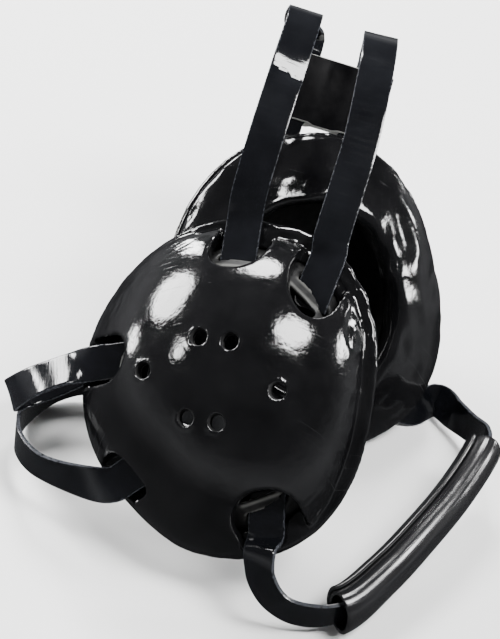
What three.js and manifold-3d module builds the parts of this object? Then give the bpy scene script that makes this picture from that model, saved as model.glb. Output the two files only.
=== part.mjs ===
// Wrestling headgear lying folded on a table: two padded ear cups joined by five flat straps.
// Millimetres. The head frame has x towards the face, y towards the crown and z out of the right ear.
// The whole head frame leans back about x, so that the folded pair rests on the table, z = 0.
import * as THREE from "three";
import { mergeVertices } from "three/addons/utils/BufferGeometryUtils.js";
import Module from "manifold-3d";

const wasm = await Module();
wasm.setup();

// How the folded pair lies on the table: degrees that the right ear's axis rises and that the crown rolls,
// and the height of the table in the head frame, where the soft dome of the left cup is pressed flat
const EAR_AXIS_RISE = 48;
const CROWN_ROLL = 7.6;
const TABLE_HEIGHT = -70.2;

// Ear cup, seen from outside: superellipse with a fuller front and a flattened corner behind the jaw
const CUP_HALF_WIDTH = 53;
const CUP_HALF_HEIGHT = 60.6;
const FRONT_POWER = 2.45;
const REAR_POWER = 1.9;
const JAW_FLAT = { at: 242, spread: 24, depth: 0.05 };
const AROUND = 40;

// Cover: soft vinyl over foam, a dome that ends in a flat seam flange.
// Behind and below, the dome swells out near its rim until it nearly hides the flange.
const FLANGE_WIDTH = 5;
const FLANGE_HIDDEN = 1.2;
const SWELL_POWER = 10;
const FLANGE_THICK = 3;
const FLANGE_ROUND = 1;
const DOME_HEIGHT = 31;
const DOME_POWER = 0.7;
const COVER_WALL = 4.5;
const COVER_STEPS = [0.25, 0.48, 0.68, 0.83, 0.93, 0.985, 1];
const INNER_STEPS = [0.35, 0.63, 0.84, 0.96, 1];
const EAR_SIDE_STEPS = [0.5, 0.85, 1];

// Hard shell under the cover, with the slots that hold the straps
const SHELL_WALL = 2;
const GAP = 0.3;

// Ear opening in the padded ring, and the section of the ring from its outer edge round to the ear
const EAR_HALF_WIDTH = 28;
const EAR_HALF_HEIGHT = 34.5;
const EAR_POWER = 2.2;
const PAD_INSET = 1.5;
const PAD_SECTION = [
  { reach: 0.96, depth: GAP },
  { reach: 1.0, depth: 2.2 },
  { reach: 0.95, depth: 4.3 },
  { reach: 0.8, depth: 6.8 },
  { reach: 0.58, depth: 9.8 },
  { reach: 0.36, depth: 12.4 },
  { reach: 0.15, depth: 14.2 },
  { reach: 0.02, depth: 12 },
  { reach: 0, depth: 6 },
  { reach: 0.14, depth: GAP },
];

// Six vents through the cover and the shell
const VENT_RADIUS = 3.3;
const VENT_SIDES = 10;
const VENTS = [
  { x: -24, y: 0 },
  { x: 24, y: 0 },
  { x: -5.5, y: 14 },
  { x: 5.5, y: 14 },
  { x: -5.5, y: -14 },
  { x: 5.5, y: -14 },
];

// Windows in the cover where the straps come out: each is a D whose straight side follows the flange,
// and whose depth is counted from the edge of the lining. The slant leans its sides by degrees along the rim
// as the strap runs, and the shear leans a window outwards as it rises.
const WINDOW_LEDGE = FLANGE_THICK + 0.3;
const WINDOW_PAST_RIM = 2;
const WINDOW_SIDES = 6;
const WINDOWS = {
  top_rear: { at: 92, width: 20, depth: 10.6, arc: 8, slant: -12, shear: 0 },
  top_front: { at: 54, width: 22, depth: 13.5, arc: 10.5, slant: 25, shear: 0 },
  back_upper: { at: 180, width: 17.5, depth: 10, arc: 7, slant: 13, shear: 0 },
  back_lower: { at: 233, width: 20, depth: 14, arc: 7, slant: -17, shear: 1 },
  chin: { at: 298, width: 24, depth: 12, arc: 9.5, slant: 0, shear: 0 },
};

// How each strap leaves its slot: how far the slot slides along the rim, and for each cup
// the strap's way out in degrees from the face and how far it runs straight
const STRAP_ENDS = {
  top_rear: { slide: 0, right: { pull: 92, out: 13 }, left: { pull: 72, out: 11 } },
  top_front: { slide: 0.3, right: { pull: 80, out: 13 }, left: { pull: 78, out: 11 } },
  back_upper: { slide: -3.2, right: { pull: 195, out: 10 }, left: { pull: 192, out: 14 } },
  back_lower: { slide: 1, right: { pull: 216, out: 14 }, left: { pull: 216, out: 14 } },
  chin: { slide: 0.6, right: { pull: 275, out: 8 }, left: { pull: 319, out: 15 } },
};
const SLOT_INSET = 4.5;
const SLOT_REACH = 18;
const SLOT_CLEAR = 0.8;
const SLOT_FALL = 9;
const BAR_PITCH = 7.2;
const BAR_SLOT = 5;
const STRAP_TAIL = 8;

// Flat vinyl straps
const STRAP_WIDTH = 12.7;
const STRAP_THICK = 1.4;

// Chin tube: a sheet rolled round the chin strap with its edges overlapped
const TUBE = { halfWidth: 8.1, halfThick: 5.4, wall: 1.5, lap: 60, lapGap: 0.4, seamAt: 250, mouth: 1.1 };
const TUBE_POINTS = 15;
const TUBE_STEPS = 11;

// Keeper round the two top straps: two flat channels joined by a thin web
const KEEPER = {
  at: [30.2, 85, -53],
  length: 25,
  lean: 15,
  yaw: 18,
  spacing: 28,
  stations: [0.7, 0.56, 0, -0.56, -0.64],
};
const KEEPER_CHANNEL = { width: 13.7, height: 2.2, wall: 1, bevel: 2.3, webHalf: 0.9 };

// Where each cup sits in the head frame: degrees of lean towards the face, turn towards the back and nod up,
// and the stretch in degrees where its dome swells. The table holds back the lower edge of the left dome.
const CUPS = {
  right: {
    at: [-8, -24, 0],
    lean: 8,
    turn: 11.8,
    nod: 6.3,
    side: 1,
    swell: { from: 84, full: 128, fullTo: 290, to: 340 },
  },
  left: {
    at: [20.3, 9, -47],
    lean: -12,
    turn: -14,
    nod: -2.3,
    side: -1,
    swell: { from: 84, full: 128, fullTo: 180, to: 230 },
  },
};

// Free run of each strap in the head frame, from the right cup round to the left one.
// The across direction is the way the strap's width points.
const TOP_REAR_RUN = [
  { at: [-0.4, 44, 2], across: [0.98, -0.2, 0] },
  { at: [5.3, 63.7, 0], across: [0.96, -0.27, 0] },
  { at: [12.1, 85.2, -6], across: [0.95, -0.3, 0] },
  { at: [16.9, 100, -13], across: [0.95, -0.3, -0.1] },
  { at: [20.6, 112.6, -25], across: [0.95, -0.28, -0.15] },
  { at: [19, 110.5, -39], across: [0.93, -0.25, -0.25] },
];
const TOP_FRONT_RUN = [
  { at: [28.5, 27.9, 8], across: [0.93, -0.35, 0] },
  { at: [34.2, 46.4, 5], across: [0.95, -0.3, 0] },
  { at: [39.2, 62.6, 1], across: [0.96, -0.27, 0] },
  { at: [43.9, 82.8, -6], across: [0.97, -0.24, 0] },
  { at: [46.4, 95, -14], across: [0.97, -0.24, -0.05] },
  { at: [48, 103.6, -27], across: [0.97, -0.22, -0.1] },
  { at: [48.3, 102.5, -42], across: [0.94, -0.23, -0.25] },
];
const BACK_UPPER_RUN = [
  { at: [-65.3, -17.7, -8], across: [-0.1, 0.82, -0.55] },
  { at: [-72, -20, -11.5], across: [-0.14, 0.8, -0.58] },
  { at: [-78.5, -22.6, -16], across: [-0.2, 0.81, -0.55] },
  { at: [-84.6, -25.8, -22.5], across: [-0.28, 0.84, -0.46] },
  { at: [-87.6, -27.8, -30], across: [-0.3, 0.86, -0.42] },
  { at: [-83.5, -26.8, -37], across: [-0.28, 0.88, -0.38] },
  { at: [-74, -23.5, -41], across: [-0.2, 0.9, -0.35] },
  { at: [-58, -16, -42.5], across: [-0.2, 0.92, -0.25] },
];
const BACK_LOWER_RUN = [
  { at: [-69.8, -54.8, -8], across: [0.05, 0.75, 0.65] },
  { at: [-78.6, -50.8, -14], across: [0.05, 0.75, 0.65] },
  { at: [-84.7, -44.5, -25], across: [0.1, 0.75, 0.6] },
  { at: [-85.5, -38, -38], across: [0.1, 0.75, 0.6] },
  { at: [-81, -32, -48], across: [0.1, 0.72, 0.62] },
  { at: [-73.3, -26, -52.5], across: [0.05, 0.75, 0.6] },
  { at: [-60, -23, -54], across: [0.1, 0.78, 0.55] },
  { at: [-36, -29, -52], across: [0.2, 0.85, 0.45] },
];
const CHIN_RUN_RIGHT = [
  { at: [3.4, -80, 18.6], across: [0.85, 0.1, 0.5] },
  { at: [3.2, -87, 17.8], across: [0.65, 0.3, 0.7] },
  { at: [4.9, -92.6, 15.8], across: [0.58, 0.36, 0.73] },
  { at: [9.4, -98.7, 13], across: [0.5, 0.45, 0.74] },
  { at: [17.5, -103.1, 10], across: [0.35, 0.6, 0.7] },
];
const CHIN_RUN_TUBE = [
  { at: [31.3, -103.2, 6.7], across: [0.3, 0.62, 0.7] },
  { at: [47.9, -91.5, -3], across: [0.25, 0.55, 0.8] },
  { at: [62.2, -77.9, -12], across: [0.22, 0.52, 0.82] },
  { at: [75.4, -63.8, -22], across: [0.2, 0.5, 0.84] },
  { at: [86.3, -49, -33], across: [0.15, 0.46, 0.88] },
];
const CHIN_RUN_LEFT = [
  { at: [87.4, -45.5, -39.5], across: [0.15, 0.46, 0.88] },
  { at: [84.8, -42.3, -49], across: [0.25, 0.5, 0.83] },
  { at: [78, -36.4, -58.5], across: [0.45, 0.62, 0.64] },
  { at: [71.5, -31, -65.9], across: [0.6, 0.74, 0.25] },
];
const LENGTH_DIVISIONS = 600;
const STRAP_STEPS = { top: 48, back: 40, chin: 54 };

// Finishes
const FINISHES = {
  vinyl: new THREE.MeshStandardMaterial({ color: 0x0c0c0e, roughness: 0.16 }),
  pad: new THREE.MeshStandardMaterial({ color: 0x0e0e10, roughness: 0.22 }),
  shell: new THREE.MeshStandardMaterial({ color: 0x2a2b2e, roughness: 0.45 }),
  strap: new THREE.MeshStandardMaterial({ color: 0x111319, roughness: 0.2 }),
  tube: new THREE.MeshStandardMaterial({ color: 0x141417, roughness: 0.3 }),
  keeper: new THREE.MeshStandardMaterial({ color: 0x121316, roughness: 0.5 }),
};

const SAME_POINT = 1e-4;
const radians = THREE.MathUtils.degToRad;
const vector = (list) => new THREE.Vector3(...list);

// Distance of a superellipse's edge from its middle
function superRadius(angle, halfWidth, halfHeight, power) {
  const across = Math.abs(Math.cos(angle)) / halfWidth;
  const along = Math.abs(Math.sin(angle)) / halfHeight;
  return (across ** power + along ** power) ** (-1 / power);
}

function cupRadius(angle) {
  const power = Math.cos(angle) > 0 ? FRONT_POWER : REAR_POWER;
  const full = superRadius(angle, CUP_HALF_WIDTH, CUP_HALF_HEIGHT, power);
  const away = angle - radians(JAW_FLAT.at);
  const turn = Math.atan2(Math.sin(away), Math.cos(away));
  return full * (1 - JAW_FLAT.depth * Math.exp(-((turn / radians(JAW_FLAT.spread)) ** 2)));
}

const plainRadius = (angle) => cupRadius(angle) - FLANGE_WIDTH;
const liningRadius = (angle) => plainRadius(angle) - COVER_WALL;

// A share of the dome's radius, swollen near the rim along the stretch that the swell gives in degrees
function domeRadius(angle, share, swell) {
  const degrees = THREE.MathUtils.euclideanModulo(THREE.MathUtils.radToDeg(angle), 360);
  const rise = THREE.MathUtils.smoothstep(degrees, swell.from, swell.full);
  const fall = THREE.MathUtils.smoothstep(degrees, swell.fullTo, swell.to);
  const most = (FLANGE_WIDTH - FLANGE_HIDDEN) * rise * (1 - fall);
  return share * plainRadius(angle) + most * share ** SWELL_POWER;
}
const shellRadius = (angle) => liningRadius(angle) - GAP;
const earRadius = (angle) => superRadius(angle, EAR_HALF_WIDTH, EAR_HALF_HEIGHT, EAR_POWER);

// Height of a dome of unit height at a share of its radius
const crown = (share) => Math.max(0, 1 - share * share) ** DOME_POWER;

const LINING_HEIGHT = FLANGE_THICK + DOME_HEIGHT - COVER_WALL;
const SHELL_HEIGHT = LINING_HEIGHT - GAP;

const shellTop = (angle, radius) => SHELL_HEIGHT * crown(radius / shellRadius(angle));

// A solid wrapped round the cup's axis. Each row gives a radius and a height at an angle.
// With poles, a point on the axis closes the first and the last row. Without, the last row meets the first.
function wrap(rows, poles) {
  const points = [];
  for (const row of rows) {
    for (let k = 0; k < AROUND; k++) {
      const angle = (2 * Math.PI * k) / AROUND;
      const [radius, height] = row(angle);
      points.push(radius * Math.cos(angle), radius * Math.sin(angle), height);
    }
  }
  const at = (row, k) => (row % rows.length) * AROUND + (k % AROUND);
  const faces = [];
  const bands = poles ? rows.length - 1 : rows.length;
  for (let row = 0; row < bands; row++) {
    for (let k = 0; k < AROUND; k++) {
      faces.push(at(row, k), at(row + 1, k), at(row + 1, k + 1));
      faces.push(at(row, k), at(row + 1, k + 1), at(row, k + 1));
    }
  }
  if (poles) {
    const first = points.length / 3;
    points.push(0, 0, poles[0], 0, 0, poles[1]);
    for (let k = 0; k < AROUND; k++) {
      faces.push(first, at(0, k), at(0, k + 1));
      faces.push(first + 1, at(rows.length - 1, k + 1), at(rows.length - 1, k));
    }
  }
  return meshFrom(points, faces);
}

function meshFrom(points, faces) {
  const geometry = new THREE.BufferGeometry();
  geometry.setAttribute("position", new THREE.Float32BufferAttribute(points, 3));
  geometry.setIndex(faces);
  return geometry;
}

// A closed mesh as a solid that can be cut
function solidFrom(geometry) {
  const bare = geometry.clone();
  bare.deleteAttribute("normal");
  bare.deleteAttribute("uv");
  const merged = mergeVertices(bare, SAME_POINT);
  const vertProperties = new Float32Array(merged.getAttribute("position").array);
  const triVerts = new Uint32Array(merged.index.array);
  return new wasm.Manifold(new wasm.Mesh({ numProp: 3, vertProperties, triVerts }));
}

// What is left of a closed mesh after the cutters are taken away
function cut(geometry, cutters) {
  let solid = solidFrom(geometry);
  for (const cutter of cutters) {
    solid = solid.subtract(solidFrom(cutter));
  }
  const mesh = solid.getMesh();
  return meshFrom(Array.from(mesh.vertProperties), Array.from(mesh.triVerts));
}

function ventCutter(vent) {
  const height = 2 * (FLANGE_THICK + DOME_HEIGHT);
  const cutter = new THREE.CylinderGeometry(VENT_RADIUS, VENT_RADIUS, height, VENT_SIDES);
  cutter.rotateX(Math.PI / 2);
  return cutter.translate(vent.x, vent.y, height / 2 + VENT_RADIUS);
}

function windowCutter(name, swell) {
  const opening = WINDOWS[name];
  const angle = radians(opening.at);
  const rim = domeRadius(angle, 1, swell) + WINDOW_PAST_RIM;
  const half = opening.width / 2;
  const arcAt = liningRadius(angle) - opening.depth + opening.arc;
  const outline = new THREE.Shape();
  outline.moveTo(rim, -half);
  outline.lineTo(rim, half);
  outline.absellipse(arcAt, 0, opening.arc, half, Math.PI / 2, 1.5 * Math.PI, false, 0);
  outline.closePath();
  const depth = FLANGE_THICK + DOME_HEIGHT;
  const steps = { depth, bevelEnabled: false, curveSegments: WINDOW_SIDES };
  const cutter = new THREE.ExtrudeGeometry(outline, steps);
  const slotRadius = liningRadius(angle) - SLOT_INSET;
  const slant = Math.tan(radians(opening.slant));
  cutter.translate(-slotRadius, STRAP_ENDS[name].slide, 0);
  cutter.applyMatrix4(new THREE.Matrix4().makeShear(0, 0, 0, 0, opening.shear, 0));
  cutter.applyMatrix4(new THREE.Matrix4().makeShear(slant, 0, 0, 0, 0, 0));
  cutter.translate(slotRadius, 0, WINDOW_LEDGE);
  return cutter.rotateZ(angle);
}

// The place and directions of the strap's slot in a window, in the cup's own frame
function slotFrame(name, side) {
  const angle = radians(WINDOWS[name].at);
  const pull = radians(STRAP_ENDS[name][side].pull);
  const fall = radians(SLOT_FALL);
  const radius = liningRadius(angle) - SLOT_INSET;
  const outward = new THREE.Vector3(Math.cos(angle), Math.sin(angle), 0);
  const sideways = new THREE.Vector3(-Math.sin(angle), Math.cos(angle), 0);
  const at = outward.clone().multiplyScalar(radius).addScaledVector(sideways, STRAP_ENDS[name].slide);
  at.z = shellTop(angle, radius);
  const along = new THREE.Vector3(Math.cos(pull), Math.sin(pull), -Math.tan(fall)).normalize();
  const across = new THREE.Vector3(-Math.sin(pull), Math.cos(pull), 0);
  return { at, along, across, outward, angle, radius };
}

// Two slots with a bar between them: the outer one takes the strap
function slotCutters(name, side) {
  const slot = slotFrame(name, side);
  const width = STRAP_WIDTH + 2 * SLOT_CLEAR;
  const up = slot.along.clone().cross(slot.across);
  const outer = new THREE.BoxGeometry(SLOT_REACH, width, STRAP_THICK + 2 * SLOT_CLEAR);
  outer.applyMatrix4(new THREE.Matrix4().makeBasis(slot.along, slot.across, up).setPosition(slot.at));
  const radius = slot.radius - BAR_PITCH;
  const rise = shellTop(slot.angle, radius - 1) - shellTop(slot.angle, radius + 1);
  const slope = new THREE.Vector3(0, 0, -rise / 2).add(slot.outward).normalize();
  const tangent = new THREE.Vector3().crossVectors(new THREE.Vector3(0, 0, 1), slot.outward);
  const normal = slope.clone().cross(tangent);
  const inner = new THREE.BoxGeometry(BAR_SLOT, width, SLOT_REACH / 2);
  const place = slot.outward.clone().multiplyScalar(radius).setZ(shellTop(slot.angle, radius));
  inner.applyMatrix4(new THREE.Matrix4().makeBasis(slope, tangent, normal).setPosition(place));
  return [outer, inner];
}

function coverGeometry(swell) {
  const domeHeight = (share) => FLANGE_THICK + DOME_HEIGHT * crown(share);
  const domeRow = (share) => (angle) => [domeRadius(angle, share, swell), domeHeight(share)];
  const liningRow = (share) => (angle) => [share * liningRadius(angle), LINING_HEIGHT * crown(share)];
  const flange = [
    (angle) => [cupRadius(angle) - FLANGE_ROUND, FLANGE_THICK],
    (angle) => [cupRadius(angle), FLANGE_THICK - FLANGE_ROUND],
    (angle) => [cupRadius(angle), FLANGE_ROUND],
    (angle) => [cupRadius(angle) - FLANGE_ROUND, 0],
  ];
  const rows = [...COVER_STEPS.map(domeRow), ...flange, ...INNER_STEPS.toReversed().map(liningRow)];
  const blank = wrap(rows, [FLANGE_THICK + DOME_HEIGHT, LINING_HEIGHT]);
  const windows = Object.keys(WINDOWS).map((name) => windowCutter(name, swell));
  return cut(blank, [...VENTS.map(ventCutter), ...windows]);
}

function shellGeometry(side) {
  const outerRow = (share) => (angle) => [share * shellRadius(angle), SHELL_HEIGHT * crown(share)];
  const innerHeight = SHELL_HEIGHT - SHELL_WALL;
  const innerRadius = (angle) => shellRadius(angle) - SHELL_WALL;
  const innerRow = (share) => (angle) => [share * innerRadius(angle), innerHeight * crown(share)];
  const rows = [...INNER_STEPS.map(outerRow), ...EAR_SIDE_STEPS.toReversed().map(innerRow)];
  const blank = wrap(rows, [SHELL_HEIGHT, innerHeight]);
  const slots = Object.keys(WINDOWS).flatMap((name) => slotCutters(name, side));
  return cut(blank, [...VENTS.map(ventCutter), ...slots]);
}

function padGeometry() {
  const rows = PAD_SECTION.map(({ reach, depth }) => (angle) => {
    const ear = earRadius(angle);
    return [ear + reach * (cupRadius(angle) - PAD_INSET - ear), -depth];
  });
  return wrap(rows, null);
}

function addMesh(group, name, geometry, material) {
  const mesh = new THREE.Mesh(geometry, material);
  mesh.name = name;
  group.add(mesh);
}

// The space under the table as a block, in the frame of a group inside the head
function tableCutter(group) {
  const up = new THREE.Vector3(0, 0, 1).applyQuaternion(head.quaternion.clone().invert());
  const toGroup = group.matrix.clone().invert();
  const surface = up.clone().multiplyScalar(TABLE_HEIGHT).applyMatrix4(toGroup);
  const rise = up.clone().transformDirection(toGroup);
  const size = 4 * CUP_HALF_HEIGHT;
  const block = new THREE.BoxGeometry(size, size, size).translate(0, 0, -size / 2);
  block.applyQuaternion(new THREE.Quaternion().setFromUnitVectors(new THREE.Vector3(0, 0, 1), rise));
  return block.translate(surface.x, surface.y, surface.z);
}

function cupGroup(side) {
  const { at, lean, turn, nod, side: handed, swell } = CUPS[side];
  const group = new THREE.Group();
  group.position.set(...at);
  group.rotation.set(-radians(nod), -radians(turn), -radians(lean), "YXZ");
  group.scale.z = handed;
  group.updateMatrix();
  addMesh(group, `${side}_cover`, cut(coverGeometry(swell), [tableCutter(group)]), FINISHES.vinyl);
  addMesh(group, `${side}_shell`, shellGeometry(side), FINISHES.shell);
  addMesh(group, `${side}_pad`, padGeometry(), FINISHES.pad);
  return group;
}

// A strap's end: its tail inside the shell, its slot and its way out over the flange, in the head frame
function strapEnd(cup, side, name, towards) {
  const slot = slotFrame(name, side);
  const across = slot.across.clone().transformDirection(cup.matrix);
  across.multiplyScalar(Math.sign(across.dot(vector(towards))));
  const { out } = STRAP_ENDS[name][side];
  const stations = [-STRAP_TAIL, -STRAP_TAIL / 2, out / 3, out];
  return stations.map((reach) => ({
    at: slot.at.clone().addScaledVector(slot.along, reach).applyMatrix4(cup.matrix),
    across,
  }));
}

const toRow = ({ at, across }) => ({ at: vector(at), across: vector(across).normalize() });

// The smooth line of a strap, with the direction of its width at each point
function strapLine(rows) {
  const line = new THREE.CatmullRomCurve3(rows.map((row) => row.at), false, "centripetal");
  const width = new THREE.CatmullRomCurve3(rows.map((row) => row.across), false, "centripetal");
  line.arcLengthDivisions = LENGTH_DIVISIONS;
  return (share) => {
    const along = line.getTangentAt(share);
    const across = width.getPoint(line.getUtoTmapping(share));
    across.addScaledVector(along, -across.dot(along)).normalize();
    return { at: line.getPointAt(share), along, across, normal: along.clone().cross(across) };
  };
}

// A closed section swept through frames, with flat ends. Each frame has a section in across and normal.
function sweep(frames, sections) {
  const count = sections[0].length;
  const points = [];
  frames.forEach((frame, i) => {
    for (const { x, y } of sections[i]) {
      const point = frame.at.clone().addScaledVector(frame.across, x).addScaledVector(frame.normal, y);
      points.push(point.x, point.y, point.z);
    }
  });
  const faces = [];
  for (let i = 0; i + 1 < frames.length; i++) {
    for (let k = 0; k < count; k++) {
      const next = (k + 1) % count;
      const [a, b] = [i * count + k, i * count + next];
      faces.push(a, b, b + count, a, b + count, a + count);
    }
  }
  const last = (frames.length - 1) * count;
  for (const [a, b, c] of THREE.ShapeUtils.triangulateShape(sections[0], [])) {
    faces.push(c, b, a);
  }
  for (const [a, b, c] of THREE.ShapeUtils.triangulateShape(sections.at(-1), [])) {
    faces.push(last + a, last + b, last + c);
  }
  return meshFrom(points, faces);
}

function framesAlong(line, from, to, steps) {
  return Array.from({ length: steps + 1 }, (_, i) => line(from + ((to - from) * i) / steps));
}

function strapGeometry(rows, steps) {
  const [x, y] = [STRAP_WIDTH / 2, STRAP_THICK / 2];
  const section = [
    new THREE.Vector2(-x, -y),
    new THREE.Vector2(x, -y),
    new THREE.Vector2(x, y),
    new THREE.Vector2(-x, y),
  ];
  const frames = framesAlong(strapLine(rows), 0, 1, steps);
  return sweep(frames, frames.map(() => section));
}

// The rolled sheet's section: an oval whose end runs out over its start
function tubeSection(grow) {
  const span = radians(360 + TUBE.lap);
  const outer = [];
  const inner = [];
  for (let i = 0; i <= TUBE_POINTS; i++) {
    const turned = (span * i) / TUBE_POINTS;
    const angle = radians(TUBE.seamAt) + turned;
    const lift = THREE.MathUtils.smoothstep(turned, span - 2 * radians(TUBE.lap), 2 * Math.PI);
    const away = lift * (TUBE.wall + TUBE.lapGap);
    const ring = (offset) => {
      const reach = away + offset + grow;
      const across = (TUBE.halfWidth + reach) * Math.cos(angle);
      return new THREE.Vector2(across, (TUBE.halfThick + reach) * Math.sin(angle));
    };
    outer.push(ring(TUBE.wall / 2));
    inner.push(ring(-TUBE.wall / 2));
  }
  return [...outer, ...inner.reverse()];
}

function tubeGeometry(rows, first, last) {
  const line = strapLine(rows);
  const share = (row) => shareNearest(line, rows[row].at);
  const frames = framesAlong(line, share(first), share(last), TUBE_STEPS);
  const flare = (i) => TUBE.mouth * (1 - i / TUBE_STEPS) ** 3;
  const sections = frames.map((_, i) => tubeSection(flare(i)));
  return sweep(frames, sections);
}

// The share of a strap's length that lies nearest to a point
function shareNearest(line, point) {
  const tries = LENGTH_DIVISIONS;
  let best = 0;
  for (let i = 1; i <= tries; i++) {
    if (line(i / tries).at.distanceTo(point) < line(best / tries).at.distanceTo(point)) {
      best = i;
    }
  }
  return best / tries;
}

function keeperFrame() {
  const lean = radians(KEEPER.lean);
  const yaw = radians(KEEPER.yaw);
  const along = new THREE.Vector3(Math.sin(lean), Math.cos(lean), 0);
  const level = new THREE.Vector3(Math.cos(lean), -Math.sin(lean), 0);
  const across = level.multiplyScalar(Math.cos(yaw)).add(new THREE.Vector3(0, 0, -Math.sin(yaw)));
  return { at: vector(KEEPER.at), along, across };
}

// Where a top strap passes through the keeper, from its upper end to its lower one
function keeperRun(sign) {
  const { at, along, across } = keeperFrame();
  const middle = at.addScaledVector(across, (sign * KEEPER.spacing) / 2);
  return KEEPER.stations.map((share) => ({
    at: middle.clone().addScaledVector(along, share * KEEPER.length),
    across,
  }));
}

function keeperGeometry() {
  const { width, height, wall, bevel, webHalf } = KEEPER_CHANNEL;
  const half = height / 2 + wall;
  const innerEdge = (KEEPER.spacing - width) / 2 - wall;
  const outerEdge = (KEEPER.spacing + width) / 2 + wall;
  const upper = [
    [outerEdge + bevel / 2, webHalf],
    [outerEdge, half],
    [innerEdge, half],
    [innerEdge - bevel, webHalf],
  ];
  const mirrorX = ([x, y]) => [-x, y];
  const top = [...upper, ...upper.toReversed().map(mirrorX)];
  const around = [...top, ...top.toReversed().map(([x, y]) => [x, -y])];
  const outline = new THREE.Shape(around.map(([x, y]) => new THREE.Vector2(x, y)));
  for (const sign of [-1, 1]) {
    const from = (sign * KEEPER.spacing - width) / 2;
    const near = [from, from + width].map((x) => new THREE.Vector2(x, -height / 2));
    const far = [from + width, from].map((x) => new THREE.Vector2(x, height / 2));
    outline.holes.push(new THREE.Path([...near, ...far]));
  }
  const sleeve = new THREE.ExtrudeGeometry(outline, { depth: KEEPER.length, bevelEnabled: false });
  sleeve.translate(0, 0, -KEEPER.length / 2);
  const { at, along, across } = keeperFrame();
  const turn = new THREE.Matrix4().makeBasis(across, along.clone().cross(across), along);
  return sleeve.applyMatrix4(turn.setPosition(at));
}

// The whole headgear
const head = new THREE.Group();
head.rotation.set(radians(90 - EAR_AXIS_RISE), 0, radians(CROWN_ROLL));
const right = cupGroup("right");
const left = cupGroup("left");
head.add(right, left);

function strapRows(name, towards, run) {
  const start = strapEnd(right, "right", name, towards);
  const finish = strapEnd(left, "left", name, towards);
  return [...start, ...run, ...finish.reverse()];
}

// A piece of the head frame, pressed flat where it meets the table
const onTable = (geometry) => cut(geometry, [tableCutter(new THREE.Group())]);

const forward = [1, 0, 0];
const upward = [0, 1, 0];
const topRear = strapRows("top_rear", forward, [...TOP_REAR_RUN.map(toRow), ...keeperRun(-1)]);
const topFront = strapRows("top_front", forward, [...TOP_FRONT_RUN.map(toRow), ...keeperRun(1)]);
const backUpper = strapRows("back_upper", upward, BACK_UPPER_RUN.map(toRow));
const backLower = strapRows("back_lower", upward, BACK_LOWER_RUN.map(toRow));
const chinRun = [...CHIN_RUN_RIGHT, ...CHIN_RUN_TUBE, ...CHIN_RUN_LEFT];
const chin = strapRows("chin", forward, chinRun.map(toRow));
const tubeFirst = chin.indexOf(chin.find((row) => row.at.equals(vector(CHIN_RUN_TUBE[0].at))));
const tubeLast = tubeFirst + CHIN_RUN_TUBE.length - 1;

addMesh(head, "top_strap_rear", strapGeometry(topRear, STRAP_STEPS.top), FINISHES.strap);
addMesh(head, "top_strap_front", strapGeometry(topFront, STRAP_STEPS.top), FINISHES.strap);
addMesh(head, "back_strap_upper", strapGeometry(backUpper, STRAP_STEPS.back), FINISHES.strap);
addMesh(head, "back_strap_lower", onTable(strapGeometry(backLower, STRAP_STEPS.back)), FINISHES.strap);
addMesh(head, "chin_strap", onTable(strapGeometry(chin, STRAP_STEPS.chin)), FINISHES.strap);
addMesh(head, "chin_tube", onTable(tubeGeometry(chin, tubeFirst, tubeLast)), FINISHES.tube);
addMesh(head, "strap_keeper", keeperGeometry(), FINISHES.keeper);

// Stand the folded pair on the table, with the middle of its box over the origin
const headgear = new THREE.Group();
headgear.add(head);
const box = new THREE.Box3().setFromObject(headgear, true);
const middle = box.getCenter(new THREE.Vector3());
headgear.position.set(-middle.x, -middle.y, -box.min.z);

export default headgear;
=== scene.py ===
# Wrestling headgear lying folded on a table: two ear cups with glossy vinyl covers over foam, hard shells
# inside them, padded rings, five flat vinyl straps, a rolled chin tube and a keeper on the top straps.
# Metres. The head frame has x towards the face, y towards the crown and z out of the right ear.
import math
from bisect import bisect_right
from collections import namedtuple
from functools import lru_cache
from itertools import accumulate

import bmesh
import bpy
from mathutils import Matrix, Vector, noise


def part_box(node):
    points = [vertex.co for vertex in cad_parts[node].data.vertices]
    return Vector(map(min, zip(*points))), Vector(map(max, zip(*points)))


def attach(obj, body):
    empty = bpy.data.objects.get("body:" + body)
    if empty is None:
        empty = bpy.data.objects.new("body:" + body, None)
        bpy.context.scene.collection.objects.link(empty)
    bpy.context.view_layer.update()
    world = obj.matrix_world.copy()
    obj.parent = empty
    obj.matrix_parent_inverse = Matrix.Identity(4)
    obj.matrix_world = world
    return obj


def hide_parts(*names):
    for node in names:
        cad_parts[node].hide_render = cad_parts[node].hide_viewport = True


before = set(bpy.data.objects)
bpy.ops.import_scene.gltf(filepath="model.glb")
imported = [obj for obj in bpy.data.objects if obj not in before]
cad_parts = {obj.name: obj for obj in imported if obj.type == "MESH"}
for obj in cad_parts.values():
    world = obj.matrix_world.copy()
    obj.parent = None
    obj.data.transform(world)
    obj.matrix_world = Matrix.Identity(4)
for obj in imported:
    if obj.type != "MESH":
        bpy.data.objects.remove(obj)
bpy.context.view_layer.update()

MM = 0.001

# How the folded pair lies: degrees that the right ear's axis rises and that the crown rolls
EAR_AXIS_RISE = 48
CROWN_ROLL = 7.6

# Camera straight in front of the right ear
CAMERA_DISTANCE = 0.8
CAMERA_LENS = 127.1
SENSOR = 36

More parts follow.
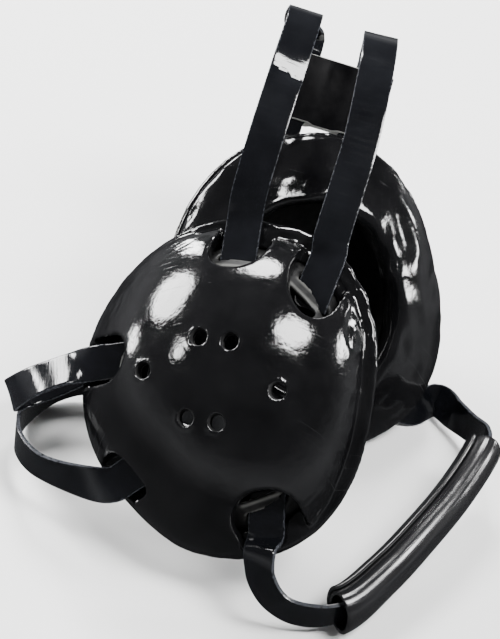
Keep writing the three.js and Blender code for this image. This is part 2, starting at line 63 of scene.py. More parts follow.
# Soft light panels: direction in degrees from +x and from the floor, distance, size and power in watts
Panel = namedtuple("Panel", "azimuth elevation distance width height power")
PANELS = {
    "back_left": Panel(150, 25, 1.3, 0.62, 0.6, 42),
    "back_low": Panel(121, 12, 1.5, 0.16, 0.4, 9),
    "back_high": Panel(96, 47, 1.2, 0.4, 0.38, 21),
    "overhead_right": Panel(-12, 61, 1.2, 0.34, 0.62, 28),
    "right_low": Panel(5, 19, 1.2, 0.28, 0.2, 8),
    "right_far": Panel(30, 11, 1.2, 0.2, 0.18, 5),
    "left_low": Panel(164, 5, 1.2, 0.22, 0.12, 3.2),
    "left_high": Panel(-172, 38, 1.2, 0.18, 0.18, 3.5),
}
LIT_PLACE = Vector((0, 0, 0.07))

# Remeshed and rounded pieces: strength of smoothing, segments of a rounded edge, and the degrees
# above which an edge stays sharp
SMOOTH_FACTOR = 0.5
EDGE_SEGMENTS = 3
SHARP_ANGLE = 40

# Dim light of the room all round, brighter towards the horizon. The reach is a sine of elevation.
ROOM_COLOUR = (0.95, 0.97, 1, 1)
ROOM_LIGHT = 0.1
HORIZON_LIGHT = 0.6
HORIZON_REACH = 0.3

# Ear cup, seen from outside: superellipse with a fuller front and a flattened corner behind the jaw
CUP_HALF_WIDTH = 53 * MM
CUP_HALF_HEIGHT = 60.6 * MM
FRONT_POWER = 2.45
REAR_POWER = 1.9
JAW_FLAT_AT = 242
JAW_FLAT_SPREAD = 24
JAW_FLAT_DEPTH = 0.05
AROUND = 128

# Cover: soft vinyl over foam, a dome that ends in a flat seam flange.
# Behind and below, the dome swells out near its rim until it nearly hides the flange.
FLANGE_WIDTH = 5 * MM
FLANGE_HIDDEN = 1.2 * MM
SWELL_POWER = 10
FLANGE_THICK = 3 * MM
FLANGE_ROUND = 1 * MM
DOME_HEIGHT = 31 * MM
COVER_HEIGHT = FLANGE_THICK + DOME_HEIGHT
DOME_POWER = 0.7
COVER_WALL = 4.5 * MM
DOME_ROWS = 30
COVER_VOXEL = 0.6 * MM
COVER_SMOOTH = 14

# Soft surface of the cover: slow dents of the foam, and crinkles along the rim, most between the top straps
DENT_SIZE = 24 * MM
DENT_DEPTH = 0.3 * MM
CRINKLE_LENGTH = 9 * MM
CRINKLE_SIZE = 2.6 * MM
CRINKLE_DEPTH = 0.36 * MM
CRINKLE_BAND = 11 * MM
CRINKLE_AT = 56
CRINKLE_SPREAD = 48
CRINKLE_LEAST = 0.2
RIDGE_FALL = 4

# Hard shell under the cover
SHELL_WALL = 2 * MM
GAP = 0.3 * MM
SHELL_ROWS = 22
SHELL_VOXEL = 0.65 * MM
SHELL_SMOOTH = 4

# Ear opening in the padded ring, and the section of the ring from its outer edge round to the ear
EAR_HALF_WIDTH = 28 * MM
EAR_HALF_HEIGHT = 34.5 * MM
EAR_POWER = 2.2
PAD_INSET = 1.5 * MM
PadPoint = namedtuple("PadPoint", "reach depth")
PAD_SECTION = [
    PadPoint(0.96, 0.3 * MM),
    PadPoint(1.0, 2.2 * MM),
    PadPoint(0.95, 4.3 * MM),
    PadPoint(0.8, 6.8 * MM),
    PadPoint(0.58, 9.8 * MM),
    PadPoint(0.36, 12.4 * MM),
    PadPoint(0.15, 14.2 * MM),
    PadPoint(0.02, 12 * MM),
    PadPoint(0.0, 6 * MM),
    PadPoint(0.14, 0.3 * MM),
]
PAD_ROWS = 40
PAD_DENT_SIZE = 20 * MM
PAD_DENT_DEPTH = 0.35 * MM
PAD_WAVE_LENGTH = 17 * MM
PAD_WAVE_SIZE = 6.5 * MM
PAD_WAVE_DEPTH = 0.85 * MM

# The ring's vinyl as cloth, simulated at ten times its size: by what share it is too wide for its foam,
# the foam's pressure, the steps, how far a point may move, and how deep the seam holds it
CLOTH_SCALE = 10
CLOTH_GROWTH = 0.03
CLOTH_PRESSURE = 0.15
CLOTH_BENDING = 0.02
CLOTH_MASS = 0.1
CLOTH_DAMPING = 2
CLOTH_STEPS = 16
CLOTH_QUALITY = 6
CLOTH_REACH = 2.5 * MM
SEAM_DEPTH = 2.1 * MM

# Six vents through the cover and the shell, each with a low rolled lip
VENT_RADIUS = 2.9 * MM
VENT_SIDES = 40
LIP_RADIUS = 3.3 * MM
LIP_ROUND = 0.45 * MM
LIP_SEGMENTS = 12
VENTS = [
    (-24 * MM, 0),
    (24 * MM, 0),
    (-5.5 * MM, 14 * MM),
    (5.5 * MM, 14 * MM),
    (-5.5 * MM, -14 * MM),
    (5.5 * MM, -14 * MM),
]

# Windows in the cover where the straps come out: each is a D whose straight side follows the flange,
# and whose depth is counted from the edge of the lining. The slant leans its sides by degrees along the rim
# as the strap runs, and the shear leans a window outwards as it rises.
Window = namedtuple("Window", "at width depth arc slant shear")
WINDOW_LEDGE = FLANGE_THICK + 0.3 * MM
WINDOW_PAST_RIM = 2 * MM
WINDOW_POINTS = 64
WINDOWS = {
    "top_rear": Window(at=92, width=20 * MM, depth=10.6 * MM, arc=8 * MM, slant=-12, shear=0),
    "top_front": Window(at=54, width=22 * MM, depth=13.5 * MM, arc=10.5 * MM, slant=25, shear=0),
    "back_upper": Window(at=180, width=17.5 * MM, depth=10 * MM, arc=7 * MM, slant=13, shear=0),
    "back_lower": Window(at=233, width=20 * MM, depth=14 * MM, arc=7 * MM, slant=-17, shear=1),
    "chin": Window(at=298, width=24 * MM, depth=12 * MM, arc=9.5 * MM, slant=0, shear=0),
}

# How each strap leaves its slot: how far the slot slides along the rim, and for each cup
# the strap's way out in degrees from the face and how far it runs straight
WayOut = namedtuple("WayOut", "pull out")
StrapEnd = namedtuple("StrapEnd", "slide right left")
STRAP_ENDS = {
    "top_rear": StrapEnd(0, right=WayOut(92, 13 * MM), left=WayOut(72, 11 * MM)),
    "top_front": StrapEnd(0.3 * MM, right=WayOut(80, 13 * MM), left=WayOut(78, 11 * MM)),
    "back_upper": StrapEnd(-3.2 * MM, right=WayOut(195, 10 * MM), left=WayOut(192, 14 * MM)),
    "back_lower": StrapEnd(1 * MM, right=WayOut(216, 14 * MM), left=WayOut(216, 14 * MM)),
    "chin": StrapEnd(0.6 * MM, right=WayOut(275, 8 * MM), left=WayOut(319, 15 * MM)),
}

# Two slots in the shell under each window with a bar between them: how far inside the lining they lie,
# their length, clearance and fall in degrees, and how wide the pale edges of the bar are
SLOT_INSET = 4.5 * MM
SLOT_REACH = 18 * MM
SLOT_CLEAR = 0.8 * MM
SLOT_FALL = 9
BAR_PITCH = 7.2 * MM
BAR_SLOT = 5 * MM
BAR_EDGES = [1.8 * MM, BAR_PITCH - BAR_SLOT / 2]
BAR_PALE_WIDTH = 1 * MM
BAR_END_FADE = 2 * MM
STRAP_TAIL = 8 * MM

# Flat vinyl straps
STRAP_WIDTH = 12.7 * MM
STRAP_THICK = 1.4 * MM
STRAP_EDGE = 0.45 * MM
STRAP_CELL = 1.2 * MM
STRAP_ACROSS = 12
STRAP_WAVE_SIZE = 16 * MM
STRAP_WAVE_DEPTH = 0.35 * MM

# Old fold of the rear top strap: its place in the head frame, its depth, how the strap twists just
# above it, how far both take to die out above and below, the crease's slant, and where the fold ends
FOLD_AT = Vector((13, 88, -7.3)) * MM
FOLD_DEPTH = 1.3 * MM
FOLD_TWIST = 0.15
FOLD_ABOVE = 8 * MM
FOLD_BELOW = 1 * MM
FOLD_SLANT = -0.25
FOLD_REACH = 24 * MM

# Chin tube: a sheet rolled round the chin strap with its edges overlapped
TUBE_HALF_WIDTH = 8.1 * MM
TUBE_HALF_THICK = 5.4 * MM
TUBE_WALL = 1.5 * MM
TUBE_LAP = 60
TUBE_LAP_GAP = 0.4 * MM
TUBE_SEAM_AT = 250
TUBE_MOUTH = 1.1 * MM
TUBE_MOUTH_POWER = 3
TUBE_ALONG = 90
TUBE_AROUND = 96

# Keeper round the two top straps: two flat channels joined by a thin web. Its ends are slanted.
# A face that points along it by more than the last value is a pale cut end.
KEEPER_AT = Vector((30.2, 85, -53)) * MM
KEEPER_LENGTH = 25 * MM
KEEPER_LEAN = 15
KEEPER_YAW = 18
KEEPER_SPACING = 28 * MM
KEEPER_STATIONS = [0.7, 0.56, 0, -0.56, -0.64]
CHANNEL_WIDTH = 13.7 * MM
CHANNEL_HEIGHT = 2.2 * MM
CHANNEL_WALL = 1 * MM
CHANNEL_BEVEL = 2.3 * MM
WEB_HALF = 0.9 * MM
KEEPER_EDGE = 0.3 * MM
KEEPER_UPPER_SLANT = 0.15
KEEPER_LOWER_SLANT = 0.45
CUT_END_FACING = 0.6

# Where each cup sits in the head frame: degrees of lean towards the face, turn towards the back and nod up,
# and the stretch in degrees where its dome swells. The table holds back the lower edge of the left dome.
Cup = namedtuple("Cup", "at lean turn nod side swell")
Swell = namedtuple("Swell", "start full full_to end")
CUPS = {
    "right": Cup((-8 * MM, -24 * MM, 0), 8, 11.8, 6.3, side=1, swell=Swell(84, 128, 290, 340)),
    "left": Cup((20.3 * MM, 9 * MM, -47 * MM), -12, -14, -2.3, side=-1, swell=Swell(84, 128, 180, 230)),
}

# Free run of each strap in the head frame, in millimetres, from the right cup round to the left one.
# Each row has the strap's place and the way its width points.
TOP_REAR_RUN = [
    ((-0.4, 44, 2), (0.98, -0.2, 0)),
    ((5.3, 63.7, 0), (0.96, -0.27, 0)),
    ((12.1, 85.2, -6), (0.95, -0.3, 0)),
    ((16.9, 100, -13), (0.95, -0.3, -0.1)),
    ((20.6, 112.6, -25), (0.95, -0.28, -0.15)),
    ((19, 110.5, -39), (0.93, -0.25, -0.25)),
]
TOP_FRONT_RUN = [
    ((28.5, 27.9, 8), (0.93, -0.35, 0)),
    ((34.2, 46.4, 5), (0.95, -0.3, 0)),
    ((39.2, 62.6, 1), (0.96, -0.27, 0)),
    ((43.9, 82.8, -6), (0.97, -0.24, 0)),
    ((46.4, 95, -14), (0.97, -0.24, -0.05)),
    ((48, 103.6, -27), (0.97, -0.22, -0.1)),
    ((48.3, 102.5, -42), (0.94, -0.23, -0.25)),
]
BACK_UPPER_RUN = [
    ((-65.3, -17.7, -8), (-0.1, 0.82, -0.55)),
    ((-72, -20, -11.5), (-0.14, 0.8, -0.58)),
    ((-78.5, -22.6, -16), (-0.2, 0.81, -0.55)),
    ((-84.6, -25.8, -22.5), (-0.28, 0.84, -0.46)),
    ((-87.6, -27.8, -30), (-0.3, 0.86, -0.42)),
    ((-83.5, -26.8, -37), (-0.28, 0.88, -0.38)),
    ((-74, -23.5, -41), (-0.2, 0.9, -0.35)),
    ((-58, -16, -42.5), (-0.2, 0.92, -0.25)),
]
BACK_LOWER_RUN = [
    ((-69.8, -54.8, -8), (0.05, 0.75, 0.65)),
    ((-78.6, -50.8, -14), (0.05, 0.75, 0.65)),
    ((-84.7, -44.5, -25), (0.1, 0.75, 0.6)),
    ((-85.5, -38, -38), (0.1, 0.75, 0.6)),
    ((-81, -32, -48), (0.1, 0.72, 0.62)),
    ((-73.3, -26, -52.5), (0.05, 0.75, 0.6)),
    ((-60, -23, -54), (0.1, 0.78, 0.55)),
    ((-36, -29, -52), (0.2, 0.85, 0.45)),
]
CHIN_RUN_RIGHT = [
    ((3.4, -80, 18.6), (0.85, 0.1, 0.5)),
    ((3.2, -87, 17.8), (0.65, 0.3, 0.7)),
    ((4.9, -92.6, 15.8), (0.58, 0.36, 0.73)),
    ((9.4, -98.7, 13), (0.5, 0.45, 0.74)),
    ((17.5, -103.1, 10), (0.35, 0.6, 0.7)),
]
CHIN_RUN_TUBE = [
    ((31.3, -103.2, 6.7), (0.3, 0.62, 0.7)),
    ((47.9, -91.5, -3), (0.25, 0.55, 0.8)),
    ((62.2, -77.9, -12), (0.22, 0.52, 0.82)),
    ((75.4, -63.8, -22), (0.2, 0.5, 0.84)),
    ((86.3, -49, -33), (0.15, 0.46, 0.88)),
]
CHIN_RUN_LEFT = [
    ((87.4, -45.5, -39.5), (0.15, 0.46, 0.88)),
    ((84.8, -42.3, -49), (0.25, 0.5, 0.83)),
    ((78, -36.4, -58.5), (0.45, 0.62, 0.64)),
    ((71.5, -31, -65.9), (0.6, 0.74, 0.25)),
]
CHIN_RUN = [*CHIN_RUN_RIGHT, *CHIN_RUN_TUBE, *CHIN_RUN_LEFT]

# Samples along a strap's line, digits of a share, and the step below which two points count as one
StrapRow = namedtuple("StrapRow", "at across")
StrapFrame = namedtuple("StrapFrame", "at along across normal")
LINE_SAMPLES = 800
SHARE_DIGITS = 6
SAME_POINT = 1e-4

# Finishes: waves count how often a noise swings in a metre, colours go from dark to pale,
# and roughness from smooth to rough. Most of a noise lies between the low and the high value.
CLOUD_LOW = 0.3
CLOUD_HIGH = 0.7
MIDDLE = 0.5

# Glossy vinyl of the covers and the rings: slow ripples, a fine peel, a finer grain and matt vents
VINYL_SPECULAR = 0.5
VINYL_COLOURS = ((0.002, 0.002, 0.0023, 1), (0.014, 0.014, 0.015, 1))
VINYL_TINT_WAVES = 60
VINYL_TINT_MOST = 0.3
VINYL_GLOSS_WAVES = 140
VINYL_RIPPLE_WAVES = 150
VINYL_RIPPLE_DEPTH = 0.12 * MM
VINYL_PEEL_WAVES = 620
VINYL_PEEL_DEPTH = 0.045 * MM
VINYL_GRAIN_WAVES = 1700
VINYL_GRAIN_DEPTH = VINYL_PEEL_DEPTH / 3
COVER_ROUGHNESS = (0.05, 0.13)
PAD_ROUGHNESS = (0.06, 0.14)
VENT_ROUGHNESS = 0.8

# Hairline scratches in that vinyl, which run two ways and show only in patches of a slower noise
SCRATCH_TURNS = [(0.5, 0.3, 0.9), (0.2, 0.9, 2.1)]
SCRATCH_STRETCH = (6, 130, 6)
SCRATCH_WIDTH = 0.003
SCRATCH_PATCH_WAVES = 34
SCRATCH_PATCH_RANGE = (0.56, 0.62)
SCRATCH_ROUGHNESS = 0.25
SCRATCH_DEPTH = 0.01 * MM

# Vinyl of the straps: lines across it, and ragged rubbed edges from a share of the width off its middle
STRAP_COLOURS = ((0.0025, 0.0027, 0.0035, 1), (0.03, 0.032, 0.038, 1))
STRAP_ROUGHNESS = (0.06, 0.12)
STRAP_TINT_WAVES = 70
STRAP_TINT_MOST = 0.12
STRAP_LINE_STRETCH = (150, 1.2, 1)
STRAP_LINE_DEPTH = 0.04 * MM
STRAP_GRAIN_WAVES = 700
STRAP_GRAIN_DEPTH = 0.008 * MM
RUB_FROM = 0.47
RUB_WAVES = 900
RUB_RAGGED = 0.06
RUB_ROUGHNESS = 0.15

# Vinyl of the chin tube, with streaks along it
TUBE_COLOURS = ((0.004, 0.004, 0.0045, 1), (0.015, 0.015, 0.016, 1))
TUBE_ROUGHNESS = (0.13, 0.28)
TUBE_STREAK_STRETCH = (2.5, 34, 1)
TUBE_STREAK_DEPTH = 0.16 * MM
TUBE_GRAIN_WAVES = 800
TUBE_GRAIN_DEPTH = 0.012 * MM

# Plastic of the shells and of the keeper with its cut ends
Plastic = namedtuple("Plastic", "specular tint_waves tint_most gloss_waves roughness grain_waves")
SHELL_PLASTIC = Plastic(0.25, 500, 0.15, 300, (0.36, 0.52), 2200)
KEEPER_PLASTIC = Plastic(0.06, 240, 1, 420, (0.3, 0.45), 1800)
PLASTIC_GRAIN_DEPTH = 0.02 * MM
SHELL_COLOURS = ((0.003, 0.003, 0.0035, 1), (0.07, 0.07, 0.066, 1))
KEEPER_COLOURS = ((0.002, 0.002, 0.0025, 1), (0.006, 0.006, 0.0065, 1))
CUT_END_COLOURS = ((0.25, 0.25, 0.24, 1), (0.5, 0.5, 0.48, 1))

# Floor
FLOOR_SIZE = 8
FLOOR_COLOURS = ((0.84, 0.84, 0.835, 1), (0.88, 0.88, 0.875, 1))
FLOOR_WAVES = 12
FLOOR_ROUGHNESS = 0.85
FLOOR_SPECULAR = 0.2

FORWARD = Vector((1, 0, 0))
UPWARD = Vector((0, 1, 0))
OUT_OF_EAR = Vector((0, 0, 1))


# Places and turns

def turned(degrees, axis):
    return Matrix.Rotation(math.radians(degrees), 4, axis)


def head_matrix():
    """The head frame in the room. The keeper's box shows where it stands."""
    turn = turned(90 - EAR_AXIS_RISE, "X") @ turned(CROWN_ROLL, "Z")
    low, high = (Vector(corner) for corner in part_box("strap_keeper"))
    return Matrix.Translation((low + high) / 2 - turn @ KEEPER_AT) @ turn


def cup_matrix(side):
    """A cup's own frame in the head frame. The left cup is the right one seen in a mirror."""
    cup = CUPS[side]
    turn = turned(-cup.turn, "Y") @ turned(-cup.nod, "X") @ turned(-cup.lean, "Z")
    return Matrix.Translation(cup.at) @ turn @ Matrix.Scale(cup.side, 4, OUT_OF_EAR)


HEAD = head_matrix()


# Shape of the cup

def smooth_step(value, low, high):
    share = min(max((value - low) / (high - low), 0), 1)
    return share * share * (3 - 2 * share)


def super_radius(angle, half_width, half_height, power):
    """Distance of a superellipse's edge from its middle."""
    across = abs(math.cos(angle)) / half_width
    along = abs(math.sin(angle)) / half_height
    return (across**power + along**power) ** (-1 / power)


def cup_radius(angle):
    power = FRONT_POWER if math.cos(angle) > 0 else REAR_POWER
    full = super_radius(angle, CUP_HALF_WIDTH, CUP_HALF_HEIGHT, power)
    away = angle - math.radians(JAW_FLAT_AT)
    turn = math.atan2(math.sin(away), math.cos(away)) / math.radians(JAW_FLAT_SPREAD)
    return full * (1 - JAW_FLAT_DEPTH * math.exp(-turn * turn))


def plain_radius(angle):
    return cup_radius(angle) - FLANGE_WIDTH


def dome_radius(angle, share, swell):
    """A share of the dome's radius, swollen near the rim along the swell's stretch."""
    degrees = math.degrees(angle) % 360
    rise = smooth_step(degrees, swell.start, swell.full)
    fall = smooth_step(degrees, swell.full_to, swell.end)
    most = (FLANGE_WIDTH - FLANGE_HIDDEN) * rise * (1 - fall)
    return share * plain_radius(angle) + most * share**SWELL_POWER


def lining_radius(angle):
    return plain_radius(angle) - COVER_WALL


def shell_radius(angle):
    return lining_radius(angle) - GAP


def ear_radius(angle):
    return super_radius(angle, EAR_HALF_WIDTH, EAR_HALF_HEIGHT, EAR_POWER)


def crown(share):
    """Height of a dome of unit height at a share of its radius."""
    return max(0.0, 1 - share * share) ** DOME_POWER


LINING_HEIGHT = COVER_HEIGHT - COVER_WALL
SHELL_HEIGHT = LINING_HEIGHT - GAP


def shell_top(angle, radius):
    return SHELL_HEIGHT * crown(radius / shell_radius(angle))


def dome_top(x, y):
    share = math.hypot(x, y) / plain_radius(math.atan2(y, x))
    return FLANGE_THICK + DOME_HEIGHT * crown(share)


def dome_normal(x, y):
    """The way out of the dome's surface over a point of the cup."""
    step = 0.5 * MM
    rise_x = (dome_top(x + step, y) - dome_top(x - step, y)) / (2 * step)
    rise_y = (dome_top(x, y + step) - dome_top(x, y - step)) / (2 * step)
    return Vector((-rise_x, -rise_y, 1)).normalized()


# Modelling by hand

def deselect():
    bpy.ops.object.select_all(action="DESELECT")


def activate(piece):
    deselect()
    piece.select_set(True)
    bpy.context.view_layer.objects.active = piece


def added(name):
    """The primitive that was just added, under its own name."""
    piece = bpy.context.object
    piece.name = name
    piece.data.name = name
    return piece


def modify(piece, kind, **settings):
    """Adds a modifier with its settings and applies it."""
    activate(piece)
    modifier = piece.modifiers.new(kind.title(), kind)
    for setting, value in settings.items():
        setattr(modifier, setting, value)
    bpy.ops.object.modifier_apply(modifier=modifier.name)


def joined(name, parts):
    """Several parts as one object."""
    deselect()
    for part in parts:
        part.select_set(True)
    bpy.context.view_layer.objects.active = parts[0]
    bpy.ops.object.join()
    return added(name)


def combine(piece, tool, operation):
    """Cuts the tool out of the piece or welds it on, and takes the tool away."""
    modify(piece, "BOOLEAN", operation=operation, object=tool, solver="EXACT")
    bpy.data.objects.remove(tool)


def put(piece, matrix):
    """Moves the mesh itself. A mirrored mesh has its faces turned back outwards."""
    piece.data.transform(matrix)
    if matrix.determinant() < 0:
        piece.data.flip_normals()
    piece.data.update()


def press_on_table(piece):
    """Soft material ends flat where it meets the table."""
    for point in piece.data.vertices:
        point.co.z = max(point.co.z, 0)
    piece.data.update()


def sculpt(piece, shift):
    """Moves each point along its normal by what the shift gives for its place."""
    points = piece.data.vertices
    normals = [point.normal.copy() for point in points]
    for point, normal in zip(points, normals):
        point.co += shift(point.co) * normal
    piece.data.update()


def ridges(place):
    """Sharp crests at a height of 1, with soft hollows between them."""
    return 1 - RIDGE_FALL * abs(noise.noise(place))


def place_ring(piece, row):
    """Moves the selected ring to the row's radius and height, each point at its own angle."""
    mesh = bmesh.from_edit_mesh(piece.data)
    for point in mesh.verts:
        if point.select:
            angle = math.atan2(point.co.y, point.co.x)
            radius, height = row(angle)
            point.co = (radius * math.cos(angle), radius * math.sin(angle), height)
    bmesh.update_edit_mesh(piece.data)


def extrude_rings(name, rows):
    """A skin drawn out of one ring, row after row. It stays in edit mode."""
    deselect()
    bpy.ops.mesh.primitive_circle_add(vertices=AROUND, radius=CUP_HALF_WIDTH)
    skin = added(name)
    bpy.ops.object.mode_set(mode="EDIT")
    bpy.ops.mesh.select_all(action="SELECT")
    place_ring(skin, rows[0])
    for row in rows[1:]:
        bpy.ops.mesh.extrude_edges_move()
        place_ring(skin, row)
    bpy.ops.mesh.select_all(action="SELECT")
    return skin


def close_skin():
    """Turns all faces outwards and leaves edit mode."""
    bpy.ops.mesh.select_all(action="SELECT")
    bpy.ops.mesh.normals_make_consistent(inside=False)
    bpy.ops.object.mode_set(mode="OBJECT")


def draw_up(way):
    """Draws the flat face that was just added out along a way, into a closed solid."""
    bpy.ops.object.mode_set(mode="EDIT")
    bpy.ops.mesh.select_all(action="SELECT")
    bpy.ops.mesh.extrude_region_move(TRANSFORM_OT_translate={"value": way})
    close_skin()


def closed_bowl(name, rows):
    """A bowl with an outer and an inner skin, closed at both poles."""
    bowl = extrude_rings(name, rows)
    bpy.ops.mesh.fill_holes(sides=0)
    close_skin()
    return bowl


def dome_shares(count):
    """Shares of the radius from near the pole to the rim, closer together near the rim."""
    return [math.sin(math.pi / 2 * i / count) for i in range(1, count + 1)]


# Covers

def shape_d(cutter, opening, rim):
    """Moves a circle's points to a D: an arc towards the middle of the cup, and a straight side."""
    half = opening.width / 2
    arc_at = lining_radius(math.radians(opening.at)) - opening.depth + opening.arc
    for point in cutter.data.vertices:
        across = point.co.x / half
        along = point.co.y / half
        if across <= 0:
            point.co = (arc_at + opening.arc * across, half * along, WINDOW_LEDGE)
        else:
            square = max(across, abs(along))
            point.co = (arc_at + (rim - arc_at) * across / square, half * along / square, WINDOW_LEDGE)


def window_cutter(name, swell):
    """A D with its straight side past the dome's rim, drawn up from the flange through the dome."""
    opening = WINDOWS[name]
    angle = math.radians(opening.at)
    deselect()
    bpy.ops.mesh.primitive_circle_add(vertices=WINDOW_POINTS, radius=opening.width / 2, fill_type="NGON")
    cutter = added("window_cutter")
    shape_d(cutter, opening, dome_radius(angle, 1, swell) + WINDOW_PAST_RIM)
    draw_up((opening.shear * COVER_HEIGHT, 0, COVER_HEIGHT))
    slot_radius = lining_radius(angle) - SLOT_INSET
    slant = math.tan(math.radians(opening.slant))
    for point in cutter.data.vertices:
        point.co.y += STRAP_ENDS[name].slide + slant * (point.co.x - slot_radius)
    put(cutter, turned(opening.at, "Z"))
    return cutter


def vent_cutter(vent):
    at = (*vent, COVER_HEIGHT + VENT_RADIUS)
    deselect()
    bpy.ops.mesh.primitive_cylinder_add(
        vertices=VENT_SIDES, radius=VENT_RADIUS, depth=2 * COVER_HEIGHT, location=at
    )
    bpy.ops.object.transform_apply(location=True, rotation=True, scale=True)
    return added("vent_cutter")


def vent_lip(vent):
    """A round lip that stands on the dome at the mouth of a vent."""
    deselect()
    bpy.ops.mesh.primitive_torus_add(
        major_radius=LIP_RADIUS, minor_radius=LIP_ROUND,
        major_segments=VENT_SIDES, minor_segments=LIP_SEGMENTS,
    )
    lip = added("vent_lip")
    lean = OUT_OF_EAR.rotation_difference(dome_normal(*vent)).to_matrix().to_4x4()
    put(lip, Matrix.Translation((*vent, dome_top(*vent))) @ lean)
    return lip


def cover_rows(swell):
    """Radius and height of each ring, from the top of the dome over the flange to the top of the lining."""
    def dome_row(share):
        return lambda angle: (dome_radius(angle, share, swell), FLANGE_THICK + DOME_HEIGHT * crown(share))

    def lining_row(share):
        return lambda angle: (share * lining_radius(angle), LINING_HEIGHT * crown(share))

    def flange_row(inset, height):
        return lambda angle: (cup_radius(angle) - inset, height)

    shares = dome_shares(DOME_ROWS)
    flange = [
        flange_row(FLANGE_ROUND, FLANGE_THICK),
        flange_row(0, FLANGE_THICK - FLANGE_ROUND),
        flange_row(0, FLANGE_ROUND),
        flange_row(FLANGE_ROUND, 0),
    ]
    return [*map(dome_row, shares), *flange, *map(lining_row, reversed(shares))]


def rim_place(angle, inside, length, size):
    """Where to read a noise that is drawn out along the rim."""
    reach = CUP_HALF_HEIGHT / length
    return Vector((reach * math.cos(angle), reach * math.sin(angle), inside / size))


def cover_shift(point):
    """Dents all over the dome, and crinkles that run along the rim."""
    angle = math.atan2(point.y, point.x)
    inside = cup_radius(angle) - math.hypot(point.x, point.y)
    band = 1 - smooth_step(inside, CRINKLE_BAND / 2, CRINKLE_BAND)
    away = angle - math.radians(CRINKLE_AT)
    turn = math.degrees(math.atan2(math.sin(away), math.cos(away))) / CRINKLE_SPREAD
    strength = band * max(CRINKLE_LEAST, math.exp(-turn * turn))
    crinkle = ridges(rim_place(angle, inside, CRINKLE_LENGTH, CRINKLE_SIZE))
    dent = noise.noise(point / DENT_SIZE)
    return DENT_DEPTH * dent + CRINKLE_DEPTH * strength * crinkle


def mark_vents(cover):
    """Marks the walls of the vents, where the foam is cut and matt."""
    marks = cover.data.attributes.new("vent", "FLOAT", "POINT")
    for point, mark in zip(cover.data.vertices, marks.data):
        from_axis = min(math.dist(point.co.xy, vent) for vent in VENTS)
        mark.value = 1 - smooth_step(from_axis, VENT_RADIUS, LIP_RADIUS)


def model_cover(side):
    swell = CUPS[side].swell
    cover = closed_bowl(f"{side}_vinyl_cover", cover_rows(swell))
    combine(cover, joined("vent_lips", [vent_lip(vent) for vent in VENTS]), "UNION")
    cutters = [window_cutter(name, swell) for name in WINDOWS]
    cutters += [vent_cutter(vent) for vent in VENTS]
    combine(cover, joined("cover_cutters", cutters), "DIFFERENCE")
    modify(cover, "REMESH", mode="VOXEL", voxel_size=COVER_VOXEL)
    modify(cover, "SMOOTH", factor=SMOOTH_FACTOR, iterations=COVER_SMOOTH)
    sculpt(cover, cover_shift)
    mark_vents(cover)
    put(cover, HEAD @ cup_matrix(side))
    press_on_table(cover)
    return cover


# Shells

def slot_frame(name, side):
    """The place and directions of the strap's slot in a window, in the cup's own frame."""
    angle = math.radians(WINDOWS[name].at)
    end = STRAP_ENDS[name]
    pull = math.radians(getattr(end, side).pull)
    radius = lining_radius(angle) - SLOT_INSET
    outward = Vector((math.cos(angle), math.sin(angle), 0))
    sideways = Vector((-math.sin(angle), math.cos(angle), 0))
    at = radius * outward + end.slide * sideways
    at.z = shell_top(angle, radius)
    along = Vector((math.cos(pull), math.sin(pull), -math.tan(math.radians(SLOT_FALL)))).normalized()
    across = Vector((-math.sin(pull), math.cos(pull), 0))
    return at, along, across


def basis(x, y, z, at):
    """The matrix of a frame from its three directions and its place."""
    turn = Matrix((x, y, z)).transposed().to_4x4()
    return Matrix.Translation(at) @ turn


def slot_cutter(size, matrix):
    deselect()
    bpy.ops.mesh.primitive_cube_add(size=1)
    cutter = added("slot_cutter")
    put(cutter, matrix @ Matrix.Diagonal((*size, 1)))
    return cutter


def slot_cutters(name, side):
    """Two slots with a bar between them: the outer one takes the strap."""
    at, along, across = slot_frame(name, side)
    width = STRAP_WIDTH + 2 * SLOT_CLEAR
    outer_size = (SLOT_REACH, width, STRAP_THICK + 2 * SLOT_CLEAR)
    outer = slot_cutter(outer_size, basis(along, across, along.cross(across), at))
    angle = math.radians(WINDOWS[name].at)
    radius = lining_radius(angle) - SLOT_INSET - BAR_PITCH
    fall = (shell_top(angle, radius - MM) - shell_top(angle, radius + MM)) / (2 * MM)
    outward = Vector((math.cos(angle), math.sin(angle), 0))
    slope = Vector((*outward.xy, -fall)).normalized()
    tangent = OUT_OF_EAR.cross(outward)
    place = Vector((*(radius * outward).xy, shell_top(angle, radius)))
    inner_size = (BAR_SLOT, width, SLOT_REACH / 2)
    return outer, slot_cutter(inner_size, basis(slope, tangent, slope.cross(tangent), place))


def bar_share(point, name):
    """How much a point of the shell lies on a pale edge of the bar between a window's two slots."""
    angle = math.radians(WINDOWS[name].at)
    outward = Vector((math.cos(angle), math.sin(angle), 0))
    inboard = lining_radius(angle) - SLOT_INSET - point.dot(outward)
    aside = abs(point.dot(OUT_OF_EAR.cross(outward)) - STRAP_ENDS[name].slide)
    from_edge = min(abs(inboard - edge) for edge in BAR_EDGES)
    on_edge = 1 - smooth_step(from_edge, 0, BAR_PALE_WIDTH)
    return on_edge * (1 - smooth_step(aside, STRAP_WIDTH / 2, STRAP_WIDTH / 2 + BAR_END_FADE))


def mark_bars(shell):
    """Marks the edges of the bars, which are coloured paler than the rest of the shell."""
    marks = shell.data.attributes.new("bar", "FLOAT", "POINT")
    for point, mark in zip(shell.data.vertices, marks.data):
        mark.value = max(bar_share(point.co, name) for name in WINDOWS)


